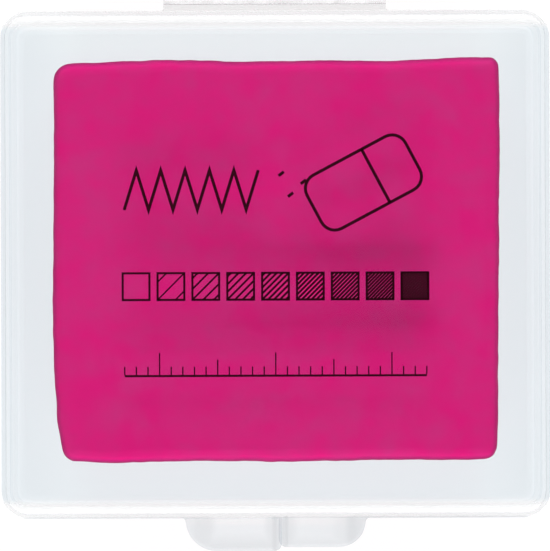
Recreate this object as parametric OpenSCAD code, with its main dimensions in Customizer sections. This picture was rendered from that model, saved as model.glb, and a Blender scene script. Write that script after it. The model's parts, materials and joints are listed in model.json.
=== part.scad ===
// Kneaded eraser in its hinged snap case.
// The origin is the centre of the case's underside. +Z is up, the thumb tabs face -Y
// and the hinge is on the +Y side. All sizes are in millimetres.

/* [Eraser] */
// Width of the eraser
eraser_w = 39; // [30:0.5:60]
// Depth of the eraser
eraser_d = 35; // [25:0.5:50]
// Thickness of the eraser
eraser_t = 10; // [7:0.5:14]
// Radius of the eraser's soft upper and lower edges
eraser_edge_r = 0.9; // [0.4:0.1:1.5]
// Radii of its corners seen from above: front left, front right, back right, back left
eraser_corner_r = [1.5, 1.1, 0.8, 1.3];
// How far its sides swell out in their middle
eraser_swell = 0.12; // [0:0.02:0.3]
// Height of the slow waves along its sides
eraser_wave = 0.06; // [0:0.01:0.12]
// How far it lies off the middle of the case, to the right and to the back
eraser_shift = [0.1, 0.4];

/* [Case walls] */
// Room between the eraser and the side walls, on the left and on the right
side_room = 2.9; // [1.5:0.1:6]
// Room between the eraser and the front and back walls
end_room = 3.1; // [1.5:0.1:6]
// Room between the eraser and the top of the lid
top_room = 0.4; // [0.2:0.1:3]
// Thickness of the walls
wall_t = 1; // [0.9:0.05:1.4]
// Thickness of the base's floor
floor_t = 1; // [0.8:0.1:1.5]
// Thickness of the lid's top
top_t = 1; // [0.8:0.1:1.5]
// Height of the base, up to the parting plane
base_h = 7.2; // [5:0.1:9]
// Radius of the case's upright corners, over the rim
corner_r = 2.4; // [2.2:0.1:4]
// Radius of the outer edges round the floor and the top
edge_r = 1; // [0.6:0.1:1.4]
// Radius of the inner edges round the floor and the top
inner_edge_r = 0.4; // [0.2:0.1:0.6]
// Draft of the walls, in degrees
draft = 1.5; // [0.5:0.5:3]

/* [Rim and lap joint] */
// How far the rim band stands out from the wall
band_out = 0.4; // [0.2:0.05:0.6]
// Height of the rim band on each half
band_h = 1.6; // [1.4:0.1:2.2]
// Radius of the band's outer edge
band_edge_r = 0.2; // [0.1:0.05:0.3]
// Height of the base's lip, which stands up into the lid
lip_h = 1.2; // [0.8:0.1:1.4]
// Thickness of the lip
lip_t = 0.5; // [0.4:0.05:0.6]
// Bevel on the lip's outer edge, which leads the lid on
lip_bevel = 0.15; // [0.05:0.05:0.25]
// Clearance between the lip and the lid
lap_gap = 0.12; // [0.08:0.02:0.2]
// Gap between the two rims when the case is shut
parting_gap = 0.05; // [0.02:0.01:0.1]

/* [Snap] */
// Radius of the bead on the front of the lip
bead_r = 0.2; // [0.15:0.05:0.25]
// Length of the bead
bead_l = 14; // [8:1:24]
// Clearance round the bead in the lid's groove
bead_gap = 0.1; // [0.06:0.02:0.15]

/* [Thumb tabs] */
// Width of the base's tab
base_tab_w = 8.4; // [6:0.1:10]
// How far the base's tab stands out from the rim
base_tab_out = 2.9; // [2.8:0.1:4]
// Width of the lid's tab
lid_tab_w = 7.55; // [6:0.05:10]
// How far the lid's tab stands out from the rim
lid_tab_out = 2.5; // [2.4:0.1:4]
// Thickness of the tabs
tab_t = 1.6; // [1.4:0.1:2]
// Where the two tabs meet, right of the middle
tab_split_x = 0.35; // [-2:0.05:2]
// How far the ends of the two tabs lap, one above the other
tab_lap = 0.3; // [0:0.05:0.6]
// Radius of the outer corner of the base's tab, seen from above
base_tab_corner_r = 2.8; // [1.5:0.1:2.9]
// Radius of the outer corner of the lid's tab, seen from above
lid_tab_corner_r = 2.3; // [1.5:0.1:2.4]
// Radius of the corners where the tabs meet
tab_inner_corner_r = 0.7; // [0.4:0.1:1]
// Radius of the tabs' long edges
tab_edge_r = 0.35; // [0.2:0.05:0.5]
// Radius with which a tab falls away at its outer end
tab_fall_r = 1.2; // [0.8:0.1:1.4]
// Radius with which a tab falls away beside the other tab
tab_inner_fall_r = 0.9; // [0.3:0.1:1.2]
// Radius of the fillet where a tab's outer end leaves the rim
tab_root_r = 0.4; // [0.2:0.1:0.8]

/* [Hinge] */
// Width of the hinge strap
strap_w = 19.3; // [12:0.1:30]
// Thickness of the strap's two leaves
strap_t = 0.5; // [0.4:0.05:0.7]
// Distance from the rim to the hinge's axis
strap_out = 0.56; // [0.5:0.02:1]
// Radius of the leaves' corners at the rim
strap_root_r = 0.3; // [0.2:0.1:0.5]
// Thickness of the thin web between the leaves
web_t = 0.3; // [0.2:0.02:0.36]
// Radius of the space inside the folded web
web_hollow_r = 0.1; // [0.06:0.02:0.12]

/* [Hidden] */
$fn = 64;

case_colour = [0.9, 0.92, 0.95, 0.6];
web_colour = [0.82, 0.85, 0.9];
eraser_colour = [0.8, 0.2, 0.48];

rim_u = band_out + wall_t; // from the rim's outer face to the room inside, at the parting plane
case_w = eraser_w + 2 * (side_room + rim_u);
case_d = eraser_d + 2 * (end_room + rim_u);
case_h = floor_t + eraser_t + top_room + top_t;
lid_z = base_h + parting_gap;
lid_h = case_h - lid_z;
skirt_u = rim_u - lip_t - lap_gap; // what is left of the lid's wall outside the lip
hinge_axis = [0, case_d / 2 + strap_out, base_h + parting_gap / 2];
bead_h = lip_h / 2;
joined = 0.2; // how far pieces of one solid run into each other
beyond = 1; // how far a cutter runs past what it cuts

// ---- Sections. u runs inwards from the rim's outer face, h away from the parting plane.

// What rounds a corner between a top line and a side that leans by the given angle
module corner_patch(corner, r, lean) {
    tangent = r * tan(45 - lean / 2);
    on_top = corner + [tangent, 0];
    on_side = corner - tangent * [sin(lean), cos(lean)];
    middle = on_top - [0, r];
    difference() {
        polygon([on_top, middle, on_side, corner + [-r, r] / 2]);
        translate(middle) circle(r);
    }
}

// Wall, floor and rim band of one half, drawn inwards as far as the corners' own centres
module shell_section(height, plate_t) {
    function wall_line(h) = band_out + h * tan(draft);
    inner_h = height - plate_t;
    inner_corner = [wall_line(inner_h) + wall_t, inner_h];
    difference() {
        union() {
            polygon([[wall_line(0), 0], [wall_line(height), height], [corner_r, height],
                [corner_r, inner_h], inner_corner, [rim_u, 0]]);
            corner_patch(inner_corner, inner_edge_r, draft);
            square([band_out + wall_t / 2, band_h]);
        }
        corner_patch([wall_line(height), height], edge_r, draft);
        corner_patch([0, band_h], band_edge_r, 0);
    }
}

module lip_section() {
    outer_u = rim_u - lip_t;
    polygon([[outer_u, joined], [outer_u, lip_bevel - lip_h], [outer_u + lip_bevel, -lip_h],
        [rim_u, -lip_h], [rim_u, joined]]);
}

module lid_section() {
    difference() {
        shell_section(lid_h, top_t);
        translate([skirt_u, -beyond]) square([corner_r, lip_h + lap_gap + beyond]);
    }
}

module base_section() {
    shell_section(base_h, floor_t);
    lip_section();
}

// ---- Sweeps of a section that is drawn inwards from the outer face

module straight_run(length) {
    rotate([90, 0, 90]) linear_extrude(length) children();
}

module corner_turn(r, degrees = 90) {
    rotate_extrude(angle = degrees) translate([r, 0]) mirror([1, 0]) children();
}

// A section carried once round a rectangle with round corners
module around(w, d, r) {
    for (side = [0:3]) {
        along = side % 2 == 0 ? w : d;
        across = side % 2 == 0 ? d : w;
        rotate(90 * side) {
            translate([r - along / 2, -across / 2, 0]) straight_run(along - 2 * r) children();
            translate([along / 2 - r, r - across / 2, 0]) rotate(-90) corner_turn(r) children();
        }
    }
}

// The flat middle that closes a half inside its swept walls
module plate(height, plate_t) {
    plate_w = case_w - 2 * corner_r;
    plate_d = case_d - 2 * corner_r;
    translate([-plate_w / 2, -plate_d / 2, height - plate_t]) cube([plate_w, plate_d, plate_t]);
}

// ---- Thumb tabs. Drawn with the root's outer end at the origin, standing out towards -Y,
// ---- with the outer corner on the left.

module tab_section(reach) {
    difference() {
        square([reach, tab_t]);
        corner_patch([0, tab_t], tab_edge_r, 0);
        translate([0, tab_t]) mirror([0, 1]) corner_patch([0, tab_t], tab_edge_r, 0);
    }
}

module tab_outline(w, out, outer_r) {
    inner_r = tab_inner_corner_r;
    // along the front, from one corner to the other, and filled back to the rim
    translate([outer_r, -out, 0]) straight_run(w - outer_r - inner_r) tab_section(out + joined);
    // the outer end
    translate([outer_r, outer_r - out, 0]) rotate(180) corner_turn(outer_r) tab_section(outer_r);
    translate([0, joined, 0]) rotate(-90) straight_run(out + joined - outer_r) tab_section(outer_r);
    // the end beside the other tab
    translate([w - inner_r, inner_r - out, 0]) rotate(-90) corner_turn(inner_r) tab_section(inner_r);
    translate([w, inner_r - out, 0]) rotate(90) straight_run(out + joined - inner_r) tab_section(inner_r);
}

// The height left under a tab's two ends, where its face falls away in arcs
module tab_fall(w, out) {
    translate([0, joined, 0]) rotate([90, 0, 0]) linear_extrude(out + 2 * joined) difference() {
        square([w, tab_t]);
        corner_patch([0, tab_t], tab_fall_r, 0);
        translate([w, tab_t]) mirror([1, 0]) corner_patch([0, 0], tab_inner_fall_r, 0);
    }
}

// What fills the corner between the rim and the low outer end of a tab
module tab_root() {
    linear_extrude(tab_t - tab_fall_r) difference() {
        translate([-tab_root_r, -tab_root_r]) square(tab_root_r + joined);
        translate([-tab_root_r, -tab_root_r]) circle(tab_root_r);
    }
}

module tab(w, out, outer_r) {
    tab_root();
    intersection() {
        tab_outline(w, out, outer_r);
        tab_fall(w, out);
    }
}

// ---- Hinge strap

// One leaf, from inside the rim to the hinge's axis, with fillets at the rim
module leaf() {
    translate([-strap_w / 2, case_d / 2 - joined, 0]) cube([strap_w, strap_out + joined, strap_t]);
    for (way = [0, 1]) mirror([way, 0, 0])
        translate([strap_w / 2, case_d / 2, 0]) linear_extrude(strap_t) difference() {
            translate([-joined, -joined]) square(strap_root_r + joined);
            translate([strap_root_r, strap_root_r]) circle(strap_root_r);
        }
}

module bar(r, length) {
    rotate([0, 90, 0]) cylinder(r = r, h = length, center = true);
}

// ---- Eraser: a soft slab, lofted through rings of its outline

side_steps = 12; // points along each side of the outline
turn_steps = 5; // points round each corner
edge_steps = 4; // rings round the upper and the lower edge

// Outward swell of a side at a share of the way along it
function swell(side, share) =
    let (waves = sin(360 * (share * (1.5 + side / 2) + side / 3)))
    (eraser_swell + eraser_wave * waves) * sin(180 * share);

// Centre of the round at one of the eraser's corners
function corner_centre(corner) =
    let (signs = [[-1, -1], [1, -1], [1, 1], [-1, 1]][corner],
        inset = eraser_swell + eraser_corner_r[corner])
    [signs.x * (eraser_w / 2 - inset), signs.y * (eraser_d / 2 - inset)];

// One corner's arc, then the side that runs on from it
function outline_stretch(side) =
    let (next = (side + 1) % 4,
        out = [[0, -1], [1, 0], [0, 1], [-1, 0]][side],
        start = corner_centre(side) + eraser_corner_r[side] * out,
        end = corner_centre(next) + eraser_corner_r[next] * out)
    concat(
        [for (i = [0:turn_steps - 1]) let (a = 180 + 90 * side + 90 * i / turn_steps)
            corner_centre(side) + eraser_corner_r[side] * [cos(a), sin(a)]],
        [for (i = [0:side_steps - 1]) let (share = i / side_steps)
            (1 - share) * start + share * end + swell(side, share) * out]);

eraser_outline = [for (side = [0:3]) each outline_stretch(side)];

// Each ring's inset and height, up the lower edge and then round the upper one
eraser_rings = concat(
    [for (i = [0:edge_steps]) let (a = 90 * i / edge_steps)
        [eraser_edge_r * (1 - sin(a)), eraser_edge_r * (1 - cos(a))]],
    [for (i = [0:edge_steps]) let (a = 90 * i / edge_steps)
        [eraser_edge_r * (1 - cos(a)), eraser_t - eraser_edge_r * (1 - sin(a))]]);

module soft_slab() {
    count = len(eraser_outline);
    levels = len(eraser_rings);
    top_ring = (levels - 1) * count;
    under_middle = levels * count;
    top_middle = under_middle + 1;
    ring_points = [for (ring = eraser_rings) for (p = eraser_outline)
        [p.x * (1 - 2 * ring[0] / eraser_w), p.y * (1 - 2 * ring[0] / eraser_d), ring[1]]];
    walls = [for (level = [0:levels - 2]) for (i = [0:count - 1])
        let (low = level * count, high = low + count, next = (i + 1) % count)
        each [[low + i, high + i, high + next], [low + i, high + next, low + next]]];
    underside = [for (i = [0:count - 1]) [under_middle, i, (i + 1) % count]];
    upper_face = [for (i = [0:count - 1]) [top_middle, top_ring + (i + 1) % count, top_ring + i]];
    polyhedron(points = concat(ring_points, [[0, 0, 0], [0, 0, eraser_t]]),
        faces = concat(underside, walls, upper_face));
}

// ---- Nodes

module eraser() {
    color(eraser_colour) translate([eraser_shift.x, eraser_shift.y, floor_t]) soft_slab();
}

module case_base() {
    color(case_colour) translate([0, 0, base_h]) {
        mirror([0, 0, 1]) {
            around(case_w, case_d, corner_r) base_section();
            plate(base_h, floor_t);
            leaf();
        }
        translate([0, rim_u - lip_t - case_d / 2, bead_h]) bar(bead_r, bead_l);
        translate([tab_split_x + tab_lap / 2 - base_tab_w, -case_d / 2, -tab_t])
            tab(base_tab_w, base_tab_out, base_tab_corner_r);
    }
}

module case_lid() {
    color(case_colour) translate([0, 0, lid_z]) {
        difference() {
            union() {
                around(case_w, case_d, corner_r) lid_section();
                plate(lid_h, top_t);
                leaf();
            }
            translate([0, rim_u - lip_t - case_d / 2, bead_h - parting_gap])
                bar(bead_r + bead_gap, bead_l + 2 * bead_gap);
        }
        translate([tab_split_x - tab_lap / 2 + lid_tab_w, -case_d / 2, 0])
            mirror([1, 0, 0]) tab(lid_tab_w, lid_tab_out, lid_tab_corner_r);
    }
}

module hinge_web() {
    color(web_colour) translate(hinge_axis) intersection() {
        difference() {
            bar(web_hollow_r + web_t, strap_w);
            bar(web_hollow_r, strap_w + 2 * beyond);
        }
        translate([-strap_w, 0, -strap_w]) cube(2 * strap_w);
    }
}

eraser();
case_base();
case_lid();
hinge_web();
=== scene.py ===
"""Kneaded eraser in its hinged snap case.

Finishes the moulded case, shapes the soft slab, bends the hinge's web, prints the lid and sets the stage.
"""

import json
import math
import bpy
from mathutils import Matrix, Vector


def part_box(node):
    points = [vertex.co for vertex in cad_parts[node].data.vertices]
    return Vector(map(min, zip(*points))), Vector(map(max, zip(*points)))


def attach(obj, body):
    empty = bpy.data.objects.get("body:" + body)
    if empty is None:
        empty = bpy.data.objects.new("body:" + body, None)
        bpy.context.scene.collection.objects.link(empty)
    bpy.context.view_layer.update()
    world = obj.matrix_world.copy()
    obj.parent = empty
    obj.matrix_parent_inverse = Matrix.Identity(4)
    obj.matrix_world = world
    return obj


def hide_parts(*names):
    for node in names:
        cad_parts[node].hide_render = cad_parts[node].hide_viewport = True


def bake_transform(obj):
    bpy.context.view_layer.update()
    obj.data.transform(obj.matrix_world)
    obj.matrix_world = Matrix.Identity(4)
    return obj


bl_info = {
    "name": "Kneaded Eraser in Snap Case",
    "version": (1, 0, 0),
    "blender": (4, 5, 0),
    "location": "3D View > Sidebar > Eraser Case",
    "description": "Finishes the moulded case, shapes the kneadable slab and sets the stage",
    "category": "Object",
}

import bmesh
import bpy
from bpy.props import FloatProperty, FloatVectorProperty, IntProperty, PointerProperty
from mathutils import Matrix, Vector, noise

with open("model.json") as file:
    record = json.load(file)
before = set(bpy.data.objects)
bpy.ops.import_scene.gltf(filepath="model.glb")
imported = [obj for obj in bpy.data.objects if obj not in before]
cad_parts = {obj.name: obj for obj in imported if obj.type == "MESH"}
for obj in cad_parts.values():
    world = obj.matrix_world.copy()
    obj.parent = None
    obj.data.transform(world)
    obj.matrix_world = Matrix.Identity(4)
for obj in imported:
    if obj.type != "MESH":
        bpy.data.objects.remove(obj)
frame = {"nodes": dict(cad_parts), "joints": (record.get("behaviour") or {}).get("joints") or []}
bpy.context.view_layer.update()

MM = 0.001
LID_HINGE = frame["joints"][0]
BASE_LOW, BASE_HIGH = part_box("case_base")
LID_LOW, LID_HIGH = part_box("case_lid")
SLAB_LOW, SLAB_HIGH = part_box("eraser")
WEB_LOW, WEB_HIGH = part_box("hinge_web")
STRAP_REACH = 0.56 * MM  # from the rim to the hinge's axis
RIM = WEB_LOW.y - STRAP_REACH  # from the middle to the rim, at the front and at the rear
WEB_HOLLOW = 0.1 * MM  # radius of the space inside the folded web
TABS_LEFT, TABS_RIGHT = -7.9 * MM, 7.75 * MM  # outer ends of the two tabs
TOUCHING = 0.01 * MM  # points nearer than this share a place


# ---- Settings


class SlabSettings(bpy.types.PropertyGroup):
    """Shape and colour of the kneadable slab"""

    mesh_size: FloatProperty(
        name="Mesh Size", description="Size of the faces of the slab",
        default=0.25 * MM, min=0.2 * MM, max=1 * MM, precision=5, unit="LENGTH")
    edge_radius: FloatProperty(
        name="Edge Radius", description="Radius of the soft upper and lower edges",
        default=1.0 * MM, min=0.3 * MM, max=1.5 * MM, precision=5, unit="LENGTH")
    waviness: FloatProperty(
        name="Waviness", description="Height of the slow hollows pressed into the upper face",
        default=0.07 * MM, min=0.0, max=0.2 * MM, precision=5, unit="LENGTH")
    colour: FloatVectorProperty(
        name="Colour", description="Colour of the rubber", subtype="COLOR",
        size=3, default=(0.93, 0.002, 0.222), min=0.0, max=1.0)
    worn_colour: FloatVectorProperty(
        name="Worn Colour", description="Colour where the rubber has dulled", subtype="COLOR",
        size=3, default=(0.82, 0.022, 0.236), min=0.0, max=1.0)
    # Painted shade: the steep left and right sides are coloured darker than the upper face.
    side_shade_colour: FloatVectorProperty(
        name="Side Colour", description="Colour of the steep left and right sides", subtype="COLOR",
        size=3, default=(0.58, 0.008, 0.17), min=0.0, max=1.0)
    # Painted shade: the front and rear sides are coloured darker still.
    front_rear_shade_colour: FloatVectorProperty(
        name="Cut Colour", description="Colour of the front and rear sides, where the slab was cut",
        subtype="COLOR", size=3, default=(0.35, 0.006, 0.11), min=0.0, max=1.0)


class CaseSettings(bpy.types.PropertyGroup):
    """Look of the moulded case"""

    tint: FloatVectorProperty(
        name="Tint", description="Tint of the clear plastic", subtype="COLOR",
        size=3, default=(0.946, 0.976, 0.991), min=0.0, max=1.0)
    # Painted shade: the steep and inner faces are tinted darker.
    matt_shade_tint: FloatVectorProperty(
        name="Matt Tint", description="Tint of the steep and inner faces, which have little gloss",
        subtype="COLOR", size=3, default=(0.875, 0.905, 0.92), min=0.0, max=1.0)
    # Painted highlight: the outer edges along the front and the rear are tinted lighter.
    edge_highlight_tint: FloatVectorProperty(
        name="Edge Tint", description="Tint of the outer edges along the front and the rear",
        subtype="COLOR", size=3, default=(0.99, 0.993, 0.996), min=0.0, max=1.0)
    # Painted shade: the left and right edges are tinted darker.
    side_shade_tint: FloatVectorProperty(
        name="Side Tint", description="Tint of the left and right edges",
        subtype="COLOR", size=3, default=(0.918, 0.948, 0.965), min=0.0, max=1.0)
    # Painted light: the flats along the hinge are tinted lighter.
    rear_painted_light_tint: FloatVectorProperty(
        name="Rear Tint", description="Tint of the flats along the hinge",
        subtype="COLOR", size=3, default=(0.957, 0.99, 1.0), min=0.0, max=1.0)
    tab_tint: FloatVectorProperty(
        name="Tab Tint", description="Tint of the two tabs", subtype="COLOR",
        size=3, default=(0.923, 0.952, 0.972), min=0.0, max=1.0)
    # Painted highlight: the tabs are tinted lighter along the rim.
    tab_root_highlight_tint: FloatVectorProperty(
        name="Tab Root Tint", description="Tint of the tabs along the rim", subtype="COLOR",
        size=3, default=(0.97, 0.98, 0.99), min=0.0, max=1.0)
    # Painted shade: the tabs are tinted darker on their flanks, steep edges and lip, and in the valley
    # between them.
    tab_shade: FloatVectorProperty(
        name="Tab Shade", description="Tint of the tabs where they fall away", subtype="COLOR",
        size=3, default=(0.765, 0.79, 0.81), min=0.0, max=1.0)
    strap_tint: FloatVectorProperty(
        name="Strap Tint", description="Tint of the hinge strap", subtype="COLOR",
        size=3, default=(0.998, 1.0, 1.0), min=0.0, max=1.0)
    # Painted shade: the strap is tinted darker where its faces turn in the bend.
    bend_shade_tint: FloatVectorProperty(
        name="Bend Tint", description="Tint of the strap where it bends", subtype="COLOR",
        size=3, default=(0.98, 0.985, 0.99), min=0.0, max=1.0)
    web_tint: FloatVectorProperty(
        name="Web Tint", description="Tint of the thin web of the hinge", subtype="COLOR",
        size=3, default=(0.99, 0.995, 1.0), min=0.0, max=1.0)
    web_haze: FloatProperty(
        name="Web Haze", description="Milkiness of the thin web of the hinge",
        default=0.1, min=0.0, max=0.9, subtype="FACTOR")
    web_streaks: FloatProperty(
        name="Web Streaks", description="How much milkier and clearer the web's streaks are",
        default=0.08, min=0.0, max=0.1, subtype="FACTOR")
    web_gloss: FloatProperty(
        name="Web Gloss", description="Share of the full gloss on the web",
        default=0.1, min=0.0, max=1.0, subtype="FACTOR")
    web_gloss_blur: FloatProperty(
        name="Web Gloss Blur", description="Roughness of the web's gloss",
        default=0.4, min=0.0, max=1.0, subtype="FACTOR")
    refraction: FloatProperty(
        name="Refraction", description="Index of refraction of the plastic", default=1.49, min=1.3, max=1.7)
    gloss_blur: FloatProperty(
        name="Gloss Blur", description="Roughness of the gloss of the base and the lid",
        default=0.3, min=0.0, max=1.0, subtype="FACTOR")
    haze: FloatProperty(
        name="Haze", description="Milkiness of the clear flats of the lid and the floor",
        default=0.001, min=0.0, max=0.5, subtype="FACTOR")
    edge_haze: FloatProperty(
        name="Edge Haze", description="Milkiness of the outer edges along the front and the rear",
        default=0.42, min=0.0, max=1.0, subtype="FACTOR")
    # Painted shade: the upright outer walls are tinted a darker grey.
    wall_shade_tint: FloatVectorProperty(
        name="Wall Tint", description="Tint of the upright outer walls",
        subtype="COLOR", size=3, default=(0.66, 0.7, 0.73), min=0.0, max=1.0)
    wall_haze: FloatProperty(
        name="Wall Haze", description="Milkiness of the upright outer walls",
        default=0.3, min=0.0, max=1.0, subtype="FACTOR")
    tab_haze: FloatProperty(
        name="Tab Haze", description="Milkiness of the tabs and of the hinge strap",
        default=0.03, min=0.0, max=1.0, subtype="FACTOR")
    wall_gloss: FloatProperty(
        name="Wall Gloss", description="Share of the full gloss on upright walls, inner edges and tab edges",
        default=0.05, min=0.0, max=1.0, subtype="FACTOR")


class PrintSettings(bpy.types.PropertyGroup):
    """The plain graphics printed on the lid"""

    ink_thickness: FloatProperty(
        name="Ink Thickness", description="How far the ink stands above the lid",
        default=0.014 * MM, min=0.005 * MM, max=0.05 * MM, precision=6, unit="LENGTH")
    line_width: FloatProperty(
        name="Line Width", description="Width of the heavier lines, which the finer ones follow",
        default=0.27 * MM, min=0.1 * MM, max=0.6 * MM, precision=5, unit="LENGTH")
    ink_colour: FloatVectorProperty(
        name="Ink Colour", description="Colour of the ink", subtype="COLOR",
        size=3, default=(0.022, 0.002, 0.006), min=0.0, max=1.0)
    swatches: IntProperty(
        name="Swatches", description="Number of squares in the tone scale",
        default=9, min=3, max=12)


class StageSettings(bpy.types.PropertyGroup):
    """Floor, lamps and camera"""

    floor_radius: FloatProperty(
        name="Floor Radius", description="Radius of the floor's flat part",
        default=0.9, min=0.3, unit="LENGTH")
    rim_height: FloatProperty(
        name="Rim Height", description="Height to which the floor sweeps up",
        default=0.7, min=0.1, unit="LENGTH")
    sky_level: FloatProperty(
        name="Sky Level", description="Brightness of the room near the floor", default=0.65, min=0.0)
    zenith_level: FloatProperty(
        name="Zenith Level", description="Brightness of the room straight above", default=0.085, min=0.0)
    side_level: FloatProperty(
        name="Side Level", description="Share of the room's brightness that comes from the two sides",
        default=0.2, min=0.0, max=1.0, subtype="FACTOR")
    front_level: FloatProperty(
        name="Front Level", description="Brightness of the long soft box in front", default=5.2, min=0.0)
    rear_level: FloatProperty(
        name="Rear Level", description="Brightness of the long soft box behind", default=4.9, min=0.0)
    box_width: FloatProperty(
        name="Soft Box Width", description="Width of each soft box", default=1.1, min=0.1, unit="LENGTH")
    box_height: FloatProperty(
        name="Soft Box Height", description="Height of each soft box", default=0.5, min=0.05, unit="LENGTH")
    box_distance: FloatProperty(
        name="Soft Box Distance", description="Distance of the soft boxes",
        default=0.85, min=0.5, unit="LENGTH")
    box_elevation: FloatProperty(
        name="Soft Box Elevation", description="Angle of the soft boxes above the floor",
        default=math.radians(20), subtype="ANGLE")
    lens: FloatProperty(
        name="Lens", description="Focal length of the camera in millimetres", default=500.0, min=50.0)
    camera_distance: FloatProperty(
        name="Camera Distance", description="Distance of the camera above the rim of the case",
        default=0.6638, min=0.1, unit="LENGTH")
    camera_roll: FloatProperty(
        name="Camera Roll", description="Turn of the camera about its line of sight",
        default=math.radians(-0.2), subtype="ANGLE")


# ---- Helpers


def keep_piece(name, bm, *materials):
    """Turns a bmesh into an object with these materials."""
    mesh = bpy.data.meshes.new(name)
    bm.to_mesh(mesh)
    bm.free()
    for material in materials:
        mesh.materials.append(material)
    piece = bpy.data.objects.new(name, mesh)
    bpy.context.scene.collection.objects.link(piece)
    return piece


def add_node(tree, kind, **settings):
    """Adds a shader node. Settings that name an input set its value, and the others are properties."""
    made = tree.nodes.new(kind)
    for name, value in settings.items():
        title = name.replace("_", " ").title()
        if title in made.inputs:
            made.inputs[title].default_value = value
        else:
            setattr(made, name, value)
    return made


def new_material(name):
    """A node material, its node tree and its Principled shader."""
    material = bpy.data.materials.new(name)
    material.use_nodes = True
    shader = material.node_tree.nodes["Principled BSDF"]
    return material, material.node_tree, shader


def surface_place(tree):
    """The node that gives a point's place and direction on its own piece."""
    there = next((n for n in tree.nodes if n.type == "TEX_COORD"), None)
    return there or add_node(tree, "ShaderNodeTexCoord")


def calculate(tree, operation, *sources):
    """The result of one operation on the outputs of other nodes."""
    made = add_node(tree, "ShaderNodeMath", operation=operation)
    for source, number in zip(sources, made.inputs):
        tree.links.new(source, number)
    return made.outputs["Value"]


def spread(tree, source, low, high, from_low=0.35, from_high=0.65):
    """Spreads a pattern's values from low to high."""
    made = add_node(
        tree, "ShaderNodeMapRange", from_min=from_low, from_max=from_high, to_min=low, to_max=high)
    tree.links.new(source, made.inputs["Value"])
    return made.outputs["Result"]


def speckle(tree, scale, detail=2.0, roughness=0.5):
    """A noise pattern on the piece's own coordinates, with its scale in features for each metre."""
    pattern = add_node(tree, "ShaderNodeTexNoise", scale=scale, detail=detail, roughness=roughness)
    tree.links.new(surface_place(tree).outputs["Object"], pattern.inputs["Vector"])
    return pattern.outputs["Fac"]


def facing(tree, axis):
    """1 on a face that looks along this axis, either way, and 0 on one that looks across it."""
    way = add_node(tree, "ShaderNodeSeparateXYZ")
    tree.links.new(surface_place(tree).outputs["Normal"], way.inputs["Vector"])
    return calculate(tree, "ABSOLUTE", way.outputs[axis])


def facing_in(tree):
    """Two shares of a face that looks to the upright line through the middle of the case.

    The first is for a bare face, and the second for one that is seen through its own plastic.
    """
    place = surface_place(tree)
    within = add_node(tree, "ShaderNodeNewGeometry").outputs["Backfacing"]
    flat = add_node(tree, "ShaderNodeVectorMath", operation="MULTIPLY")
    flat.inputs[1].default_value = (1, 1, 0)
    tree.links.new(place.outputs["Object"], flat.inputs[0])
    outward = add_node(tree, "ShaderNodeVectorMath", operation="DOT_PRODUCT")
    tree.links.new(flat.outputs["Vector"], outward.inputs[0])
    tree.links.new(place.outputs["Normal"], outward.inputs[1])
    bare = spread(tree, outward.outputs["Value"], 1.0, 0.0, -TURNED_IN, -TURNED_ACROSS)
    turned = spread(tree, outward.outputs["Value"], 0.0, 1.0, TURNED_ACROSS, TURNED_IN)
    return bare, calculate(tree, "MULTIPLY", turned, within)


def steps(tree, source, stops):
    """Turns a value into another that runs smoothly through these (place, value) stops."""
    made = add_node(tree, "ShaderNodeValToRGB")
    made.color_ramp.interpolation = "EASE"
    points = made.color_ramp.elements
    while len(points) < len(stops):
        points.new(1.0)
    for point, (place, value) in zip(points, stops):
        point.position = place
        point.color = (*grey(value), 1)
    tree.links.new(source, made.inputs["Fac"])
    return made.outputs["Color"]


def grey(level):
    """A share as a colour."""
    return (level, level, level)


def blend_colours(tree, factor, first, second):
    """Blends two colours by a factor. Each is a colour or the output of a node."""
    made = add_node(tree, "ShaderNodeMix", data_type="RGBA")
    for name, value in (("A", first), ("B", second)):
        colour_input = next(i for i in made.inputs if i.name == name and i.type == "RGBA")
        if isinstance(value, bpy.types.NodeSocket):
            tree.links.new(value, colour_input)
        else:
            colour_input.default_value = (*value, 1)
    tree.links.new(factor, made.inputs["Factor"])
    return next(o for o in made.outputs if o.type == "RGBA")


def raise_bumps(tree, shader, height, strength, distance):
    """Puts a bump in front of the shader's normal, on top of the bump that is there."""
    bump = add_node(tree, "ShaderNodeBump", strength=strength, distance=distance)
    tree.links.new(height, bump.inputs["Height"])
    if shader.inputs["Normal"].is_linked:
        tree.links.new(shader.inputs["Normal"].links[0].from_socket, bump.inputs["Normal"])
    tree.links.new(bump.outputs["Normal"], shader.inputs["Normal"])


def flowing(values, share):
    """The value at a share of the way along evenly spaced values that are joined by a smooth curve."""
    place = min(max(share, 0.0), 1.0) * (len(values) - 1)
    first = min(int(place), len(values) - 2)
    step = place - first
    step = step * step * (3 - 2 * step)
    return values[first] * (1 - step) + values[first + 1] * step


def ramp(value, start, end):
    """0 before start, 1 after end, and a smooth rise between them."""
    share = min(max((value - start) / (end - start), 0.0), 1.0)
    return share * share * (3 - 2 * share)


# ---- Materials


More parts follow.
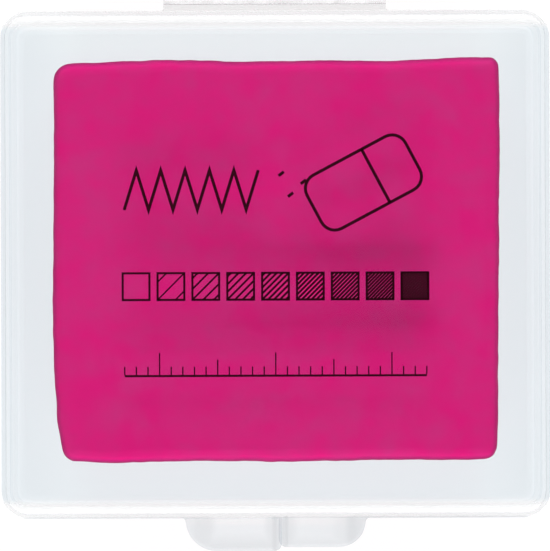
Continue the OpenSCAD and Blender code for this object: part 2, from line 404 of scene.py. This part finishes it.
def rubber_material(settings):
    """Kneadable rubber: matt, mottled where it was handled, with a fine grain, and painted shade on its steep
    sides.
    """
    material, tree, shader = new_material("kneadable_rubber")
    clouds = speckle(tree, scale=330, detail=5.0, roughness=0.65)
    worn = spread(tree, clouds, 0.0, 1.0, 0.36, 0.68)
    colour = blend_colours(tree, worn, settings.colour, settings.worn_colour)
    # Painted shade: the steep sides take darker colours, the front and rear ones the darkest.
    steepness = spread(tree, facing(tree, "Z"), 1.0, 0.0, 0.4, 0.85)
    steep = blend_colours(tree, facing(tree, "Y"), settings.side_shade_colour, settings.front_rear_shade_colour)
    colour = blend_colours(tree, steepness, colour, steep)
    tree.links.new(colour, shader.inputs["Base Color"])
    handled = speckle(tree, scale=420, detail=3.0)
    tree.links.new(spread(tree, handled, 0.62, 0.82), shader.inputs["Roughness"])
    dents = speckle(tree, scale=900, detail=2.0)
    raise_bumps(tree, shader, dents, strength=0.25, distance=0.12 * MM)
    grain = speckle(tree, scale=5200, detail=3.0, roughness=0.6)
    raise_bumps(tree, shader, grain, strength=0.3, distance=0.02 * MM)
    shader.inputs["Specular IOR Level"].default_value = 0.15
    return material


# Bands of the case, from where each begins to where it is full, measured from the case's middle. Several of
# them place painted highlights and painted shade in the case's tint.
EDGE_BAND = (20.35 * MM, 20.8 * MM)  # the outer edges along the front and the rear
SIDE_BAND = (18 * MM, 23 * MM)  # the left and the right
REAR_BAND = (17.5 * MM, 19 * MM)  # the flats along the hinge
TABS_BAND = (-RIM, 0.15 * MM - RIM)
STRAP_BAND = (RIM - 0.15 * MM, RIM)
# The same for the tabs' lip, at their outer end, which takes painted shade, and for their root along the rim,
# which takes a painted highlight
LIP_BAND = (-RIM - 2.4 * MM, -RIM - 1.2 * MM)
ROOT_BAND = (-RIM - 0.8 * MM, -RIM - 0.4 * MM)
# How level a face is, from upright at 0 to flat at 1, where its look begins to change and is full
UPRIGHT_LEVELS = (0.1, 0.35)
GLOSS_LEVELS = (0.15, 0.6)
ROUNDED_LEVELS = (0.9, 0.99)
# Place times direction, along the floor, where a face is taken to look across and to look inwards
TURNED_ACROSS, TURNED_IN = 1 * MM, 5 * MM
# How dark the two tabs are along them, as shares of the way from left to right and of the full shade: painted
# shade on their flanks and a painted shadow in the valley between them
TAB_SHADES = (
    (0.0, 0.5), (0.12, 0.5), (0.19, 0.0), (0.42, 0.0), (0.47, 0.4), (0.5, 1.0), (0.518, 0.7), (0.533, 0.45),
    (0.542, 1.0), (0.56, 1.0), (0.58, 0.5), (0.64, 0.1), (0.79, 0.15), (0.87, 0.4), (0.92, 0.85), (1.0, 0.8))


def case_material(settings):
    """Natural polypropylene: clear and glossy outside, matt inside, milky along the front and the rear, with
    painted highlights and painted shade in its tint.
    """
    material, tree, shader = new_material("natural_polypropylene")
    shader.inputs["Roughness"].default_value = 0.0
    shader.inputs["IOR"].default_value = 1.0
    shader.inputs["Coat IOR"].default_value = settings.refraction
    shader.inputs["Coat Roughness"].default_value = settings.gloss_blur
    level = facing(tree, "Z")
    inside, covered = facing_in(tree)
    place = add_node(tree, "ShaderNodeSeparateXYZ")
    tree.links.new(surface_place(tree).outputs["Object"], place.inputs["Vector"])
    at_edge = spread(tree, calculate(tree, "ABSOLUTE", place.outputs["Y"]), 0.0, 1.0, *EDGE_BAND)
    at_side = spread(tree, calculate(tree, "ABSOLUTE", place.outputs["X"]), 0.0, 1.0, *SIDE_BAND)
    at_rear = spread(tree, place.outputs["Y"], 0.0, 1.0, *REAR_BAND)
    on_tabs = spread(tree, place.outputs["Y"], 1.0, 0.0, *TABS_BAND)
    on_strap = spread(tree, place.outputs["Y"], 0.0, 1.0, *STRAP_BAND)

    full_gloss = spread(tree, level, settings.wall_gloss, 1.0, *GLOSS_LEVELS)
    half_gloss = spread(tree, level, settings.wall_gloss, 0.5, *GLOSS_LEVELS)
    gloss = blend_colours(tree, covered, full_gloss, half_gloss)
    flat_gloss = spread(tree, level, settings.wall_gloss, 1.0, *ROUNDED_LEVELS)
    for share in (inside, on_tabs):
        gloss = blend_colours(tree, share, gloss, flat_gloss)
    tree.links.new(gloss, shader.inputs["Coat Weight"])

    clear = grey(1 - settings.haze)
    edge_clear = 1 - settings.edge_haze
    end_clear = 1 - 0.5 * settings.edge_haze
    # The front and rear edges are made milkier than the left and right ones, so that the soft boxes light
    # them brighter.
    rounded_clear = steps(tree, facing(tree, "Y"), (
        (0.03, 1 - settings.haze), (0.4, edge_clear), (0.7, edge_clear), (0.95, end_clear)))
    clearness = blend_colours(tree, at_edge, clear, rounded_clear)
    upright = spread(tree, level, 1.0, 0.0, *UPRIGHT_LEVELS)
    for share in (inside, covered):
        upright = blend_colours(tree, share, upright, grey(0.0))
    clearness = blend_colours(tree, upright, clearness, grey(1 - settings.wall_haze))
    clearness = blend_colours(tree, inside, clearness, clear)
    for share in (on_tabs, on_strap):
        clearness = blend_colours(tree, share, clearness, grey(1 - settings.tab_haze))
    tree.links.new(clearness, shader.inputs["Transmission Weight"])

    # Painted shade: the strap is darker where its faces turn in the bend.
    bend = spread(tree, level, 1.0, 0.0, *ROUNDED_LEVELS)
    strap_colour = blend_colours(tree, bend, settings.strap_tint, settings.bend_shade_tint)
    # Painted shade: the tint is darker where the gloss is low, on steep and inner faces.
    tint = blend_colours(tree, gloss, settings.matt_shade_tint, settings.tint)
    for share, own_tint in (
            # Painted light: the flats along the hinge are lighter.
            (at_rear, settings.rear_painted_light_tint),
            # Painted shade: the left and right edges are darker.
            (at_side, settings.side_shade_tint),
            # Painted highlight: the front and rear edges are lighter.
            (at_edge, settings.edge_highlight_tint),
            # Painted shade: the upright outer walls are darker.
            (upright, settings.wall_shade_tint),
            # Painted shade and a painted highlight on the tabs.
            (on_tabs, tab_colour(tree, settings, place, level)),
            # Painted shade where the strap bends.
            (on_strap, strap_colour)):
        tint = blend_colours(tree, share, tint, own_tint)
    tree.links.new(tint, shader.inputs["Base Color"])
    ripple = speckle(tree, scale=620, detail=2.0)
    raise_bumps(tree, shader, ripple, strength=0.1, distance=0.02 * MM)
    let_light_pass(tree, shader, settings.tint)
    return material


def tab_colour(tree, settings, place, level):
    """Tint of the tabs: painted shade where they fall away to their ends and edges, at their lip and as a
    painted shadow between them, and a painted highlight along the rim.
    """
    along = spread(tree, place.outputs["X"], 0.0, 1.0, TABS_LEFT, TABS_RIGHT)
    ends = steps(tree, along, TAB_SHADES)
    edges = spread(tree, level, 0.6, 0.0, 0.6, 0.99)
    lip = spread(tree, place.outputs["Y"], 0.5, 0.0, *LIP_BAND)
    # Painted shade: darker along the tabs' flanks and the valley between them, on their steep edges and at
    # their lip.
    darker = calculate(tree, "MAXIMUM", calculate(tree, "MAXIMUM", ends, edges), lip)
    # Painted highlight: lighter along the root by the rim.
    root = spread(tree, place.outputs["Y"], 0.0, 1.0, *ROOT_BAND)
    flat = blend_colours(tree, root, settings.tab_tint, settings.tab_root_highlight_tint)
    return blend_colours(tree, darker, flat, settings.tab_shade)


def let_light_pass(tree, shader, tint):
    """Lets lamplight and light from matt surfaces go straight through a clear shader."""
    path = add_node(tree, "ShaderNodeLightPath")
    pane = add_node(tree, "ShaderNodeBsdfTransparent", color=(*[c ** 0.5 for c in tint], 1))
    out = tree.nodes["Material Output"]
    seen = shader.outputs["BSDF"]
    for ray in ("Is Diffuse Ray", "Is Shadow Ray"):
        chosen = add_node(tree, "ShaderNodeMixShader")
        tree.links.new(path.outputs[ray], chosen.inputs[0])
        tree.links.new(seen, chosen.inputs[1])
        tree.links.new(pane.outputs["BSDF"], chosen.inputs[2])
        seen = chosen.outputs["Shader"]
    tree.links.new(seen, out.inputs["Surface"])


def web_material(settings):
    """The same plastic in the thin web, whitened in faint streaks where it bends."""
    material, tree, shader = new_material("whitened_polypropylene")
    shader.inputs["Base Color"].default_value = (*settings.web_tint, 1)
    shader.inputs["Roughness"].default_value = 0.0
    shader.inputs["IOR"].default_value = 1.0
    shader.inputs["Coat Weight"].default_value = settings.web_gloss
    shader.inputs["Coat IOR"].default_value = settings.refraction
    shader.inputs["Coat Roughness"].default_value = settings.web_gloss_blur
    clear = 1 - settings.web_haze
    streaks = speckle(tree, scale=900, detail=3.0)
    streaks = spread(tree, streaks, clear - settings.web_streaks, clear + settings.web_streaks)
    tree.links.new(streaks, shader.inputs["Transmission Weight"])
    let_light_pass(tree, shader, (1.0, 1.0, 1.0))
    return material


def ink_material(settings):
    """Matt black ink that lies on the lid."""
    material, tree, shader = new_material("lid_ink")
    film = speckle(tree, scale=1800, detail=3.0)
    thin_ink = tuple(c * 2.2 for c in settings.ink_colour)
    colour = blend_colours(tree, film, settings.ink_colour, thin_ink)
    tree.links.new(colour, shader.inputs["Base Color"])
    tree.links.new(spread(tree, film, 0.6, 0.8), shader.inputs["Roughness"])
    shader.inputs["Specular IOR Level"].default_value = 0.1
    return material


def floor_material():
    """White paper that shows white to the eye and in glass, and keeps soft shadows."""
    material, tree, shader = new_material("white_paper")
    shader.inputs["Base Color"].default_value = (*grey(0.82), 1)
    shader.inputs["Roughness"].default_value = 1.0
    shader.inputs["Specular IOR Level"].default_value = 0.0
    path = add_node(tree, "ShaderNodeLightPath")
    shaded = add_node(tree, "ShaderNodeBsdfDiffuse", color=(*grey(0.2), 1))
    glow = add_node(tree, "ShaderNodeEmission", color=(1, 1, 1, 1), strength=0.9)
    seen = add_node(tree, "ShaderNodeAddShader")
    tree.links.new(shaded.outputs["BSDF"], seen.inputs[0])
    tree.links.new(glow.outputs["Emission"], seen.inputs[1])
    rays = path.outputs["Is Camera Ray"]
    for ray in ("Is Glossy Ray", "Is Transmission Ray"):
        rays = calculate(tree, "MAXIMUM", rays, path.outputs[ray])
    chosen = add_node(tree, "ShaderNodeMixShader")
    tree.links.new(rays, chosen.inputs[0])
    tree.links.new(shader.outputs["BSDF"], chosen.inputs[1])
    tree.links.new(seen.outputs["Shader"], chosen.inputs[2])
    tree.links.new(chosen.outputs["Shader"], tree.nodes["Material Output"].inputs["Surface"])
    return material


# ---- The kneadable slab


def rounded_block(low, high, corner_radii, edge_radius):
    """A block whose four upright edges have radii of their own, and whose other edges have edge_radius."""
    bm = bmesh.new()
    middle, size = (low + high) / 2, high - low
    bmesh.ops.create_cube(bm, size=1.0, matrix=Matrix.Translation(middle) @ Matrix.Diagonal((*size, 1)))
    for right, rear, radius in corner_radii:
        corner = Vector((high.x if right else low.x, high.y if rear else low.y))
        upright = [
            e for e in bm.edges
            if all((v.co.xy - corner).length < TOUCHING for v in e.verts)
        ]
        bmesh.ops.bevel(
            bm, geom=upright, offset=radius, offset_type="OFFSET", affect="EDGES",
            segments=6, profile=0.5, material=-1)
    rim = [
        e for e in bm.edges
        if all(min(v.co.z - low.z, high.z - v.co.z) < TOUCHING for v in e.verts)
        and abs(e.verts[0].co.z - e.verts[1].co.z) < TOUCHING
    ]
    bmesh.ops.bevel(
        bm, geom=rim, offset=edge_radius, offset_type="OFFSET", affect="EDGES",
        segments=4, profile=0.5, material=-1)
    return bm


# How far each side stands out from a straight line, in millimetres, at evenly spaced places from
# its left or front end to its right or rear end
FRONT_SIDE = (-0.1, 0.12, 0.0, -0.04, 0.03, -0.03, -0.1, -0.05, -0.1)
RIGHT_SIDE = (-0.2, -0.07, -0.06, -0.03, 0.05, 0.03, 0.12, 0.13, 0.02)
REAR_SIDE = (-0.2, -0.15, 0.0, 0.08, 0.03, -0.1, -0.05, 0.0, -0.02, -0.08, 0.07, 0.24, 0.22)
LEFT_SIDE = (-0.75, -0.2, 0.03, 0.12, 0.04, 0.02, -0.03, -0.03, -0.03)
# Room that the straight sides leave in the slab's space, on its low and on its high sides
LOW_ROOM = Vector((0.31, 0.07, 0)) * MM
HIGH_ROOM = Vector((0.37, 0.34, 0)) * MM
# Whether each corner is on the right and at the rear, and its radius
CORNERS = ((False, False, 1.0 * MM), (True, False, 1.1 * MM), (True, True, 0.8 * MM), (False, True, 1.5 * MM))
# Marks of the cut on the sides and nicks along the outline: features in a metre each way, and depth
CUT_GRAIN, CUT_DEPTH = Vector((90, 90, 1500)), 0.03 * MM
NICK_GRAIN, NICK_DEPTH = Vector((800, 800, 120)), 0.05 * MM
# How far in the upper face begins to fall to its rear and front edges, and how far it falls
REAR_FALL_REACH, REAR_FALL = 4 * MM, 0.3 * MM
FRONT_FALL_REACH, FRONT_FALL = 3 * MM, 0.12 * MM
# How much of the sides' unevenness is left at the slab's foot, and how fast it dies away inwards
FOOT_SHARE = 0.85
SIDE_POWER = 4
# Slow and short hollows in the upper face: features in a metre, and their layer of the noise
SLOW_GRAIN, SLOW_LAYER = 130, 3.1
SHORT_GRAIN, SHORT_LAYER = 480, 7.7
# Height of the short ones and level of the whole, as shares of the slow ones' height
SHORT_SHARE, HOLLOW_LEVEL = 0.25, -0.4
# The crease near the front edge: place, shape, and where it begins and ends from left to right
CREASE_SETBACK = 1.15 * MM
CREASE_SWAY = 0.12 * MM
CREASE_TURNS = 330  # radians in a metre
CREASE_HALF_WIDTH = 0.3 * MM
CREASE_HEIGHT = 0.04 * MM
CREASE_START = (-15 * MM, -12 * MM)
CREASE_END = (1 * MM, 4 * MM)


def knead(co, low, high, waviness):
    """Where a point of the plain block goes on the handled one."""
    across = (co.x - low.x) / (high.x - low.x)
    along = (co.y - low.y) / (high.y - low.y)
    up = (co.z - low.z) / (high.z - low.z)
    moved = co.copy()
    side_push = FOOT_SHARE + (1 - FOOT_SHARE) * up
    moved.x += MM * side_push * (
        ramp(across, 0.5, 1.0) ** SIDE_POWER * flowing(RIGHT_SIDE, along)
        - ramp(1 - across, 0.5, 1.0) ** SIDE_POWER * flowing(LEFT_SIDE, along))
    moved.y += MM * side_push * (
        ramp(along, 0.5, 1.0) ** SIDE_POWER * flowing(REAR_SIDE, across)
        - ramp(1 - along, 0.5, 1.0) ** SIDE_POWER * flowing(FRONT_SIDE, across))
    # drag marks of the cut, level on the sides, and small nicks along the outline
    cut = CUT_DEPTH * noise.fractal(co * CUT_GRAIN, 1.0, 2.0, 3)
    nicks = NICK_DEPTH * noise.fractal(co * NICK_GRAIN, 0.8, 2.0, 3)
    sides = max(ramp(abs(across - 0.5), 0.46, 0.5), ramp(abs(along - 0.5), 0.46, 0.5))
    outward = Vector((co.x - (low.x + high.x) / 2, co.y - (low.y + high.y) / 2, 0)).normalized()
    moved += outward * ((cut + nicks) * sides * ramp(up, 0.02, 0.1) * ramp(1 - up, 0.0, 0.06))
    # the upper face falls a little towards its rear and front edges
    top = ramp(up, 0.6, 1.0)
    to_rear = max(0.0, 1 - (high.y - co.y) / REAR_FALL_REACH)
    to_front = max(0.0, 1 - (co.y - low.y) / FRONT_FALL_REACH)
    moved.z -= top * (REAR_FALL * to_rear ** 2 + FRONT_FALL * to_front ** 2)
    # slow hollows in the upper face, and a faint crease near its front edge
    slow = noise.noise(Vector((co.x * SLOW_GRAIN, co.y * SLOW_GRAIN, SLOW_LAYER)))
    short = noise.noise(Vector((co.x * SHORT_GRAIN, co.y * SHORT_GRAIN, SHORT_LAYER)))
    moved.z += top * waviness * (slow + SHORT_SHARE * short + HOLLOW_LEVEL)
    crease_y = low.y + CREASE_SETBACK + CREASE_SWAY * math.sin(CREASE_TURNS * co.x)
    crease = CREASE_HEIGHT * ramp(CREASE_HALF_WIDTH - abs(co.y - crease_y), 0.0, CREASE_HALF_WIDTH)
    moved.z += top * crease * ramp(co.x, *CREASE_START) * (1 - ramp(co.x, *CREASE_END))
    return moved


class ERASER_CASE_OT_slab(bpy.types.Operator):
    """Shape the kneadable slab that lies in the case"""

    bl_idname = "eraser_case.slab"
    bl_label = "Add Kneadable Slab"

    def execute(self, context):
        settings = context.scene.slab_settings
        low, high = SLAB_LOW + LOW_ROOM, SLAB_HIGH - HIGH_ROOM
        slab = keep_piece("eraser_slab", rounded_block(low, high, CORNERS, settings.edge_radius))
        remesh = slab.modifiers.new("even_faces", "REMESH")
        remesh.mode = "VOXEL"
        remesh.voxel_size = settings.mesh_size
        bpy.context.view_layer.update()
        even = bpy.data.meshes.new_from_object(slab.evaluated_get(context.evaluated_depsgraph_get()))
        slab.modifiers.clear()
        slab.data = even
        bm = bmesh.new()
        bm.from_mesh(even)
        for v in bm.verts:
            v.co = knead(v.co, low, high, settings.waviness)
        bmesh.ops.smooth_vert(
            bm, verts=bm.verts, factor=0.4, use_axis_x=True, use_axis_y=True, use_axis_z=True)
        for f in bm.faces:
            f.smooth = True
        bm.to_mesh(even)
        bm.free()
        even.materials.clear()
        even.materials.append(rubber_material(settings))
        if not even.polygons:
            raise RuntimeError("the slab has no faces")
        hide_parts("eraser")
        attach(slab, "base")
        return {"FINISHED"}


# ---- The moulded case


class ERASER_CASE_OT_case(bpy.types.Operator):
    """Give the base and the lid the finish of natural polypropylene"""

    bl_idname = "eraser_case.case"
    bl_label = "Finish Case"

    def execute(self, context):
        plastic = case_material(context.scene.case_settings)
        for name in ("case_base", "case_lid"):
            half = frame["nodes"][name]
            for slot in half.material_slots:
                slot.material = plastic
        return {"FINISHED"}


class ERASER_CASE_OT_hinge(bpy.types.Operator):
    """Bend the thin web of the living hinge from the base to the lid"""

    bl_idname = "eraser_case.hinge"
    bl_label = "Add Hinge Web"

    def execute(self, context):
        axis = Vector(LID_HINGE["pos_m"])
        outer = (WEB_HIGH.z - WEB_LOW.z) / 2
        section = (
            (WEB_LOW.x, WEB_HOLLOW), (WEB_HIGH.x, WEB_HOLLOW), (WEB_HIGH.x, outer), (WEB_LOW.x, outer))
        bm = bmesh.new()
        corners = [bm.verts.new((x, axis.y, axis.z - radius)) for x, radius in section]
        start = bm.faces.new(corners)
        bmesh.ops.spin(
            bm, geom=[start, *start.edges, *start.verts], cent=axis, axis=(1, 0, 0),
            angle=math.pi, steps=12, use_merge=False, use_duplicate=False)
        bmesh.ops.recalc_face_normals(bm, faces=bm.faces)
        web = keep_piece("hinge_strip", bm, web_material(context.scene.case_settings))
        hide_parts("hinge_web")
        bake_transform(web)
        return {"FINISHED"}


# ---- The print on the lid

# Heights of its rows over the lid's middle, and sizes, in millimetres
SIGN_Y, TONES_Y, RULER_Y = 6.4, -1.9, -9.6
SWATCH_SIDE, SWATCH_PITCH = 2.3, 3.0
DENSEST_HATCH = 0.97  # share of the spacing that the last square's hatching fills
RULER_REACH = 13
TENTH_MARK, FIFTH_MARK, OTHER_MARK = 2.0, 1.4, 0.8
# Widths of the finer lines, as shares of the heavier ones and of the ruler's base line
FINE_LINE = 0.7
RULER_MARK = 0.6
INK_GAP = 0.002 * MM  # between the lid and the ink


def stroke(bm, points, width, closed=False):
    """A flat line of even width, with mitred corners, through flat points in millimetres."""
    points = [Vector(p) * MM for p in points]
    rows = []
    for i, here in enumerate(points):
        ways = []
        if closed or i > 0:
            ways.append((here - points[i - 1]).normalized())
        if closed or i < len(points) - 1:
            ways.append((points[(i + 1) % len(points)] - here).normalized())
        along = sum(ways, Vector((0, 0))).normalized()
        side = Vector((-along.y, along.x))
        reach = width / 2 / along.dot(ways[0])
        rows.append([bm.verts.new((*(here + side * reach * way), 0)) for way in (-1, 1)])
    ahead = rows[1:] + rows[:1] if closed else rows[1:]
    for (right, left), (next_right, next_left) in zip(rows, ahead):
        bm.faces.new((right, next_right, next_left, left))


def rounded_outline(middle, width, height, radius, tilt):
    """Points round a tilted rectangle with rounded corners."""
    points = []
    for right, up, start in ((1, 1, 0), (-1, 1, 90), (-1, -1, 180), (1, -1, 270)):
        centre = Vector((right * (width / 2 - radius), up * (height / 2 - radius)))
        for i in range(7):
            turn = math.radians(start + 15 * i)
            points.append(centre + radius * Vector((math.cos(turn), math.sin(turn))))
    return [middle + Matrix.Rotation(tilt, 2) @ p for p in points]


def tone_scale(bm, count, side, pitch, y, width):
    """A row of framed squares, with more hatching from each one to the next."""
    for i in range(count):
        x = (i - (count - 1) / 2) * pitch
        corners = [(x + a * side / 2, y + b * side / 2) for a, b in ((-1, -1), (1, -1), (1, 1), (-1, 1))]
        stroke(bm, corners, width, closed=True)
        spacing = side * math.sqrt(2) / (2 * i + 1)
        for j in range(-i, i + 1) if i else ():
            offset = spacing * j
            reach = side / math.sqrt(2) - abs(offset)
            middle = Vector((x, y)) + offset * Vector((1, -1)) / math.sqrt(2)
            half = reach * Vector((1, 1)) / math.sqrt(2)
            stroke(bm, (middle - half, middle + half), DENSEST_HATCH * spacing * MM * i / (count - 1))


def ruler_scale(bm, reach, y, width):
    """A base line with a mark at each millimetre, longer at each fifth and tenth one."""
    stroke(bm, ((-reach, y), (reach, y)), width)
    for x in range(-reach, reach + 1):
        length = TENTH_MARK if x % 10 == 0 else FIFTH_MARK if x % 5 == 0 else OTHER_MARK
        stroke(bm, ((x, y + width / MM / 2), (x, y + length)), RULER_MARK * width)


def rubbing_out(bm, y, width):
    """A pencil's zigzag that a tilted block rubs out, with a few crumbs between them."""
    left, pitch, rise = -13, 1.05, 1.7
    stroke(bm, [(left + pitch * i, y + (rise if i % 2 else -rise)) for i in range(12)], width)
    crumb = Vector((0.45, 0.35))
    for place in ((0.3, 1.2), (1.1, -0.6), (2.2, 0.5)):
        start = Vector((0, y)) + Vector(place)
        stroke(bm, (start, start + crumb), width)
    middle, length, height, corner = Vector((7.6, y + 0.6)), 9.6, 5.2, 1.3
    sleeve_start = 1.2
    tilt = math.radians(28)
    stroke(bm, rounded_outline(middle, length, height, corner, tilt), width, closed=True)
    sleeve = [Vector((sleeve_start, way * height / 2)) for way in (-1, 1)]
    stroke(bm, [middle + Matrix.Rotation(tilt, 2) @ p for p in sleeve], width)


class ERASER_CASE_OT_print(bpy.types.Operator):
    """Print a tone scale, a ruler and a rubbing out sign on the lid"""

    bl_idname = "eraser_case.print"
    bl_label = "Print Lid"

    def execute(self, context):
        settings = context.scene.print_settings
        fine = FINE_LINE * settings.line_width
        bm = bmesh.new()
        rubbing_out(bm, SIGN_Y, settings.line_width)
        tone_scale(bm, settings.swatches, SWATCH_SIDE, SWATCH_PITCH, TONES_Y, fine)
        ruler_scale(bm, RULER_REACH, RULER_Y, fine)
        bmesh.ops.translate(bm, vec=(0, 0, LID_HIGH.z + INK_GAP), verts=bm.verts)
        raised = bmesh.ops.extrude_face_region(bm, geom=bm.faces[:])
        tops = [v for v in raised["geom"] if isinstance(v, bmesh.types.BMVert)]
        bmesh.ops.translate(bm, vec=(0, 0, settings.ink_thickness), verts=tops)
        bmesh.ops.recalc_face_normals(bm, faces=bm.faces)
        ink = keep_piece("lid_print", bm, ink_material(settings))
        if not ink.data.polygons:
            raise RuntimeError("the print has no faces")
        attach(ink, "lid")
        return {"FINISHED"}


# ---- Stage

FLOOR_LEVEL = BASE_LOW.z - 0.02 * MM  # just clear of the case's underside
SWEEP_ANGLE = math.radians(75)
SWEEP_SEGMENTS = 10
FLOOR_SEGMENTS = 64
# Between which parts of straight up, and of straight to a side, the room darkens
ZENITH_FALL = (0.3, 0.95)
SIDE_FALL = (0.3, 0.9)
AIM_X, AIM_Y = -0.04 * MM, -0.98 * MM  # the place on the case that the camera stands over
SENSOR_WIDTH = 36.0


class ERASER_CASE_OT_stage(bpy.types.Operator):
    """Lay the white floor, hang the soft boxes and set up the camera"""

    bl_idname = "eraser_case.stage"
    bl_label = "Set Stage"

    def execute(self, context):
        settings = context.scene.stage_settings
        self.lay_floor(settings)
        self.light_room(context.scene, settings)
        self.hang_soft_boxes(context.scene, settings)
        self.aim_camera(context.scene, settings)
        return {"FINISHED"}

    def lay_floor(self, settings):
        """A round floor that sweeps up at its edge."""
        bm = bmesh.new()
        profile = [bm.verts.new((x, 0, FLOOR_LEVEL)) for x in (0, settings.floor_radius)]
        for i in range(1, SWEEP_SEGMENTS + 1):
            turn = SWEEP_ANGLE * i / SWEEP_SEGMENTS
            profile.append(bm.verts.new((
                settings.floor_radius + settings.rim_height * math.sin(turn), 0,
                FLOOR_LEVEL + settings.rim_height * (1 - math.cos(turn)))))
        edges = [bm.edges.new(pair) for pair in zip(profile, profile[1:])]
        bmesh.ops.spin(
            bm, geom=[*profile, *edges], cent=(0, 0, 0), axis=(0, 0, 1), angle=math.tau,
            steps=FLOOR_SEGMENTS, use_merge=True, use_duplicate=False)
        bmesh.ops.remove_doubles(bm, verts=bm.verts, dist=0.001 * MM)
        bmesh.ops.recalc_face_normals(bm, faces=bm.faces)
        for f in bm.faces:
            f.smooth = True
        floor = keep_piece("floor", bm, floor_material())

    def light_room(self, scene, settings):
        """Even light from all round, less from straight above and from the sides."""
        world = bpy.data.worlds.new("room")
        world.use_nodes = True
        tree = world.node_tree
        sky = tree.nodes["Background"]
        sky.inputs["Color"].default_value = (1, 1, 1, 1)
        direction = add_node(tree, "ShaderNodeTexCoord")
        split = add_node(tree, "ShaderNodeSeparateXYZ")
        tree.links.new(direction.outputs["Generated"], split.inputs["Vector"])
        fall = spread(tree, split.outputs["Z"], settings.sky_level, settings.zenith_level, *ZENITH_FALL)
        across = calculate(tree, "ABSOLUTE", split.outputs["X"])
        side = spread(tree, across, 1.0, settings.side_level, *SIDE_FALL)
        tree.links.new(calculate(tree, "MULTIPLY", fall, side), sky.inputs["Strength"])
        scene.world = world

    def hang_soft_boxes(self, scene, settings):
        """Two long soft boxes, in front of the case and behind it."""
        for name, way, level in (
                ("front_soft_box", -1, settings.front_level), ("rear_soft_box", 1, settings.rear_level)):
            lamp = bpy.data.lights.new(name, "AREA")
            lamp.shape = "RECTANGLE"
            lamp.size = settings.box_width
            lamp.size_y = settings.box_height
            lamp.energy = level * math.pi * lamp.size * lamp.size_y
            box = bpy.data.objects.new(name, lamp)
            towards = Vector((0, way * math.cos(settings.box_elevation), math.sin(settings.box_elevation)))
            box.location = towards * settings.box_distance
            box.rotation_euler = towards.to_track_quat("Z", "Y").to_euler()
            box.visible_camera = False
            box.visible_transmission = False
            box.visible_glossy = False
            scene.collection.objects.link(box)

    def aim_camera(self, scene, settings):
        """A long lens that looks straight down on the lid."""
        data = bpy.data.cameras.new("camera")
        data.lens = settings.lens
        data.sensor_width = SENSOR_WIDTH
        data.clip_start = 0.01
        data.clip_end = 10
        camera = bpy.data.objects.new("camera", data)
        camera.location = (AIM_X, AIM_Y, LID_LOW.z + settings.camera_distance)
        camera.rotation_euler = (0, 0, settings.camera_roll)
        scene.collection.objects.link(camera)
        scene.camera = camera


class VIEW3D_PT_eraser_case(bpy.types.Panel):
    """Lists the steps that finish the eraser and its case"""

    bl_label = "Eraser Case"
    bl_space_type = "VIEW_3D"
    bl_region_type = "UI"
    bl_category = "Eraser Case"

    def draw(self, context):
        layout = self.layout
        for operator, group in STEPS:
            layout.operator(operator.bl_idname)
            settings = getattr(context.scene, group)
            for name in settings.bl_rna.properties.keys():
                if name not in ("rna_type", "name"):
                    layout.prop(settings, name)


SETTING_GROUPS = {
    "slab_settings": SlabSettings,
    "case_settings": CaseSettings,
    "print_settings": PrintSettings,
    "stage_settings": StageSettings,
}
STEPS = (
    (ERASER_CASE_OT_case, "case_settings"),
    (ERASER_CASE_OT_hinge, "case_settings"),
    (ERASER_CASE_OT_slab, "slab_settings"),
    (ERASER_CASE_OT_print, "print_settings"),
    (ERASER_CASE_OT_stage, "stage_settings"),
)


def register():
    for name, group in SETTING_GROUPS.items():
        bpy.utils.register_class(group)
        setattr(bpy.types.Scene, name, PointerProperty(type=group))
    for operator, _ in STEPS:
        bpy.utils.register_class(operator)
    bpy.utils.register_class(VIEW3D_PT_eraser_case)


def unregister():
    bpy.utils.unregister_class(VIEW3D_PT_eraser_case)
    for operator, _ in reversed(STEPS):
        bpy.utils.unregister_class(operator)
    for name, group in SETTING_GROUPS.items():
        delattr(bpy.types.Scene, name)
        bpy.utils.unregister_class(group)


def main():
    register()
    bpy.context.scene.view_settings.view_transform = "Standard"
    bpy.ops.eraser_case.case()
    bpy.ops.eraser_case.hinge()
    bpy.ops.eraser_case.slab()
    bpy.ops.eraser_case.print()
    bpy.ops.eraser_case.stage()
    bpy.context.view_layer.update()


if __name__ == "__main__":
    main()
